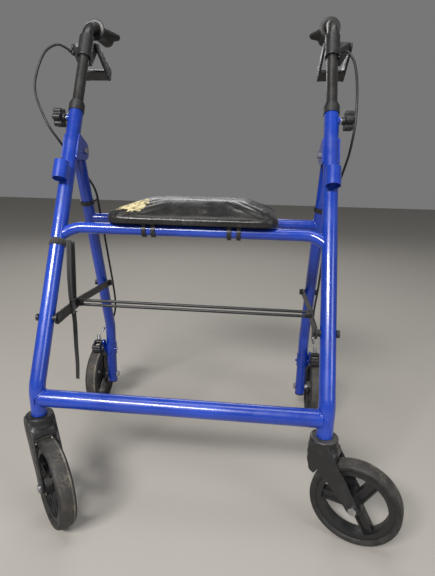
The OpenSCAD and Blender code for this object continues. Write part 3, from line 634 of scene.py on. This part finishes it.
def inflate(pad, board_top, frames=20):
    """Stuffs the cover: a cloth under pressure, held where it meets the board."""
    held = pad.vertex_groups.new(name="held")
    for v in pad.data.vertices:
        if v.co.z < board_top + 3.5 * MM:
            held.add([v.index], 1.0, "REPLACE")
    cloth = pad.modifiers.new("cloth", "CLOTH")
    cloth.settings.use_pressure = True
    cloth.settings.uniform_pressure_force = 5
    cloth.settings.effector_weights.gravity = 0
    cloth.settings.vertex_group_mass = "held"
    cloth.settings.bending_stiffness = 0.6
    for f in range(1, frames + 1):
        bpy.context.scene.frame_set(f)
    bake(pad)
    bpy.context.scene.frame_set(1)


def settle(pad, before, low, high, board_top):
    """Keeps each point within reach of its place before stuffing, and gives the top its crown and shallow dents."""
    reach = 7 * MM
    centre = (Vector(low) + Vector(high)) / 2
    half = (Vector(high) - Vector(low)) / 2
    for v, was in zip(pad.data.vertices, before):
        was = Vector(was)
        moved = v.co - was
        if moved.length > reach:
            v.co = was + moved.normalized() * reach
        if was.z > board_top + 8 * MM:
            dx, dy = (v.co.x - centre.x) / half.x, (v.co.y - centre.y) / half.y
            crown = max(0.0, 1 - dx * dx) * max(0.0, 1 - dy * dy)
            ripple = noise.fractal(v.co * 22, 1.0, 2.0, 3) * 1.1 * MM
            v.co.z += ripple * min(1.0, 4 * crown) + 3.0 * MM * crown


def seat_pad():
    low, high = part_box("seat_pad")
    board_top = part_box("seat_board")[1][2]
    pad = add_piece("seat_pad_cover", pad_shape(low, high, board_top), "vinyl")
    remesh = pad.modifiers.new("remesh", "REMESH")
    remesh.mode = "VOXEL"
    remesh.voxel_size = 3.6 * MM
    bake(pad)
    before = np.array([v.co for v in pad.data.vertices])
    inflate(pad, board_top)
    settle(pad, before, low, high, board_top)
    subdivide = pad.modifiers.new("finer", "SUBSURF")
    subdivide.levels = subdivide.render_levels = 1
    bake(pad)
    for face in pad.data.polygons:
        face.use_smooth = True
    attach(pad, "seat")
    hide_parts("seat_pad")


# ---------------------------------------------------------------- tyres and springs


def tyres():
    """One rounded tyre profile, turned once and shared by the four wheels."""
    r, half, inner = WHEEL_R / MM, 15, 65.9
    profile = [
        (inner, -13), (inner + 1.5, -13.2), (inner + 2.1, -13.9), (inner + 3.0, -13.9), (inner + 3.6, -14.2),
        (r - 5.5, -half), (r - 4.2, -half + 0.2), (r - 2.2, -half + 2.0), (r - 0.9, -half + 4.4),
        (r - 0.3, -half + 7.2), (r - 0.05, -half + 11), (r, 0),
    ]
    profile += [(a, -b) for a, b in reversed(profile[:-1])]
    shared = lathe([(a * MM, b * MM) for a, b in profile])
    for side in SIDES:
        for place, body in (("front", "caster_wheel"), ("rear", "back_wheel")):
            joint = joints[f"{side}_{place}_wheel_spin"]
            tyre = add_piece(f"{side}_{place}_tread", shared.copy(), "tyre")
            tyre.matrix_world = axis_turn(joint["pos_m"], joint["axis"])
            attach(tyre, f"{side}_{body}")
            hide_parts(f"{side}_{place}_tyre")


def brake_springs():
    """Coil springs inside the CAD springs' boxes."""
    turns, steps, r = 6, 20, 4.4 * MM
    for side in SIDES:
        low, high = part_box(f"{side}_brake_spring")
        centre = ((low[0] + high[0]) / 2, (low[1] + high[1]) / 2)
        path = []
        for k in range(turns * steps + 1):
            a = 2 * math.pi * k / steps
            z = low[2] + 1 * MM + (high[2] - low[2] - 2 * MM) * k / (turns * steps)
            path.append(Vector((centre[0] + r * math.cos(a), centre[1] + r * math.sin(a), z)))
        coil = tube(path, 0.75 * MM, 8)
        add_piece(f"{side}_return_spring", coil, "zinc_steel", "rear_frame", f"{side}_brake_spring")


# ---------------------------------------------------------------- cables and strap

# Brake cable routes, the same as the CAD's, in millimetres from the design's own zero
UPPER = {
    "left": [
        (-277, 295.5, 860), (-287, 285, 868), (-302, 272, 873), (-320, 259, 860), (-331, 248, 835), (-338, 236, 799),
        (-334, 226, 769), (-318, 215, 735), (-301, 209, 705), (-288, 218, 682), (-285, 240, 664),
    ],
    "right": [
        (272, 294, 852), (275, 284, 859), (281, 272, 859), (289, 262, 849), (296, 250, 830),
        (300, 236, 797), (301, 222, 758), (300, 213, 718), (298, 217, 686), (299, 240, 664),
    ],
}
LOWER = {
    "left": [
        (-285, 240, 664), (-285, 258, 648), (-275, 272, 632), (-258, 277, 612), (-245, 279, 592),
        (-240, 284, 574), (-239, 291, 552), (-240, 302, 527), (-240, 320, 480), (-240, 344, 410),
        (-240, 366, 345), (-243, 387, 285), (-255, 403, 242), (-272, 402, 216), (-284, 384, 204),
    ],
    "right": [
        (299, 240, 664), (296, 255, 641), (292, 264, 621), (286, 271, 600), (279, 277, 565), (275, 284, 511),
        (274, 302, 417), (274, 322, 362), (273, 346, 305), (276, 366, 250), (280, 378, 222), (284, 382, 204),
    ],
}
CABLE_R = 2.4 * MM


def ferrule(name, a, b, radius, slot, body):
    """A stepped end cap on a cable, from a to b, with a knurled middle."""
    path = [a.lerp(b, t) for t in (0, 0.02, 0.1, 0.12, 0.5, 0.52, 0.58, 0.6, 0.95, 1.0)]
    radii = [radius * k for k in (0.8, 1.0, 1.0, 1.12, 1.12, 0.8, 0.8, 0.95, 0.95, 0.75)]
    add_piece(name, tube(path, radii, 18), slot, body)


def cables():
    """Four brake cable housings with their end caps, and the clips that tie two of them to the rear legs."""
    for side in SIDES:
        upper = smooth_path([design(*p) for p in UPPER[side]])
        cable = add_piece(f"{side}_cable_upper", tube(upper, CABLE_R), "cable_sheath")
        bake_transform(cable)
        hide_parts(f"{side}_upper_cable")
        lower = smooth_path([design(*p) for p in LOWER[side]])
        housing = tube(lower, CABLE_R)
        cable = add_piece(f"{side}_cable_lower", housing, "cable_sheath", "rear_frame", f"{side}_lower_cable")
        ferrule(f"{side}_upper_ferrule", upper[0], upper[7], 3.6 * MM, "black_plastic", f"{side}_handle")
        ferrule(f"{side}_lower_adjuster", lower[-10], lower[-1], 3.3 * MM, "zinc_steel", "rear_frame")
    for side, x, y in (("left", -241.5, 287), ("right", 274.5, 262)):
        loop = []
        for k in range(24):
            a = 2 * math.pi * k / 24
            loop.append(design(x, y, 560) + Vector((4.2 * math.cos(a), 4.2 * math.sin(a), 1.5 * math.sin(a))) * MM)
        add_piece(f"{side}_cable_clip", tube(loop, 1.5 * MM, 10, closed=True), "black_plastic", "rear_frame")


def leg_loop():
    """The strap's turn round the left front leg."""
    foot_z, strap_z = 240, 487
    foot = design(0, 0, foot_z)
    foot.x = LEG_X["left"]
    centre = foot + LEAN * ((strap_z - foot_z) * MM / LEAN.z)
    back = Vector((0, LEAN.z, -LEAN.y))
    outline = [(-0.85, -6.2), (-0.85, 6.2), (0, 6.6), (0.85, 6.2), (0.85, -6.2), (0, -6.6)]
    rings = []
    for k in range(40):
        a = 2 * math.pi * k / 40
        p = centre + 15.3 * MM * (math.cos(a) * Vector((1, 0, 0)) + math.sin(a) * back)
        out = (p - centre).normalized()
        rings.append([p + out * a * MM + LEAN * b * MM for a, b in outline])
    return skin_rings(rings, closed=True)


def pull_strap():
    """Two bands from the leg to a loop round the link they fold, and a loose tail; the bands hang a little inboard
    of the link, clear of the other link that passes them."""
    link_x = (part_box("front_links")[0][0] + 1.5 * MM - MID_X) / MM
    x = link_x + 1.8
    # each run: its points, its width, and its twist in radians
    runs = [
        ([(x, 120, 493), (x, 117, 470), (x, 112.5, 430), (x, 111.8, 395), (x, 113, 373)], 10.2, 0.0),
        ([(x, 134, 488), (x, 133.5, 465), (x, 131, 425), (x, 128.4, 390), (x, 127, 373)], 9.8, 0.0),
        ([(x, 112, 373.2), (x, 120, 373.6), (x, 128, 373.2)], 10.0, 0.0),
        ([(x, 112, 345.8), (x, 120, 345.4), (x, 128, 345.8)], 10.0, 0.0),
        ([(x, 120, 346.5), (x + 0.5, 121, 320), (x + 1, 118.5, 275), (x + 1, 119, 235), (x, 117, 200)], 10.0, 0.35),
    ]
    meshes = []
    for points, width, twist in runs:
        meshes.append(ribbon(smooth_path([design(*p) for p in points]), width * MM, 1.7 * MM, twist=twist))
    for off in (-2.3, 2.3):
        path = [design(link_x + off, 120, z) for z in (373.4, 360, 345.6)]
        meshes.append(ribbon(path, 14 * MM, 1.1 * MM, across=Vector((0, 1, 0))))
    meshes.append(leg_loop())
    strap = add_piece("pull_strap_webbing", joined(meshes), "webbing", "front_frame", "pull_strap")
    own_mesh(strap)


# ---------------------------------------------------------------- weld beads


def coped_bead(bar_at, bar_r, leg_at, leg_axis, leg_r, toward):
    """A closed weld bead where a bar along X meets a leg: points of the bar's outline lying on the leg's surface."""
    path = []
    for k in range(56):
        a = 2 * math.pi * k / 56
        off = Vector((0, bar_r * math.cos(a), bar_r * math.sin(a)))
        p = bar_at + off
        d = p - leg_at
        d -= leg_axis * d.dot(leg_axis)
        across = d - Vector((1, 0, 0)) * d.x
        reach = math.sqrt(max(leg_r**2 - across.length_squared, 1e-8))
        wobble = 0.35 * MM * noise.noise(Vector((k * 0.9, bar_r * 900, toward * 3)))
        path.append(Vector((leg_at.x + toward * (reach + wobble), p.y, p.z)))
    return path


def weld_beads():
    """Uneven beads where the bottom bar meets the upright feet, and the rear seat tube the rear legs."""
    rear_foot_y = joints["left_rear_wheel_spin"]["pos_m"][1]
    rear_slope = Vector((0, HINGE.y - rear_foot_y, HINGE.z - 0.222)).normalized()
    bars = (
        ("bottom_bar", "front_frame", 15.9, 14.3, (STEM_Y, 0.24), Vector((0, 0, 1))),
        ("rear_seat_tube", "rear_frame", 11.1, 12.7, (HINGE.y, HINGE.z), rear_slope),
    )
    for node, body, bar_r, leg_r, leg_yz, leg_axis in bars:
        low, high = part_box(node)
        at = Vector((0, (low[1] + high[1]) / 2, (low[2] + high[2]) / 2))
        for side, sign in SIDES.items():
            leg_at = Vector((LEG_X[side], *leg_yz))
            path = coped_bead(at, bar_r * MM, leg_at, leg_axis, leg_r * MM, -sign)
            radii = [1.7 * MM * (1 + 0.22 * math.sin(k * 2.4)) for k in range(len(path))]
            add_piece(f"{node}_{side}_weld", tube(path, radii, 10, closed=True), "blue_paint", body)


# ---------------------------------------------------------------- assembly

materials = build_materials()
add_camera()
add_surroundings()
dress_cad_nodes()
caster_forks()
front_seat_tube()
seat_pad()
tyres()
brake_springs()
cables()
pull_strap()
weld_beads()
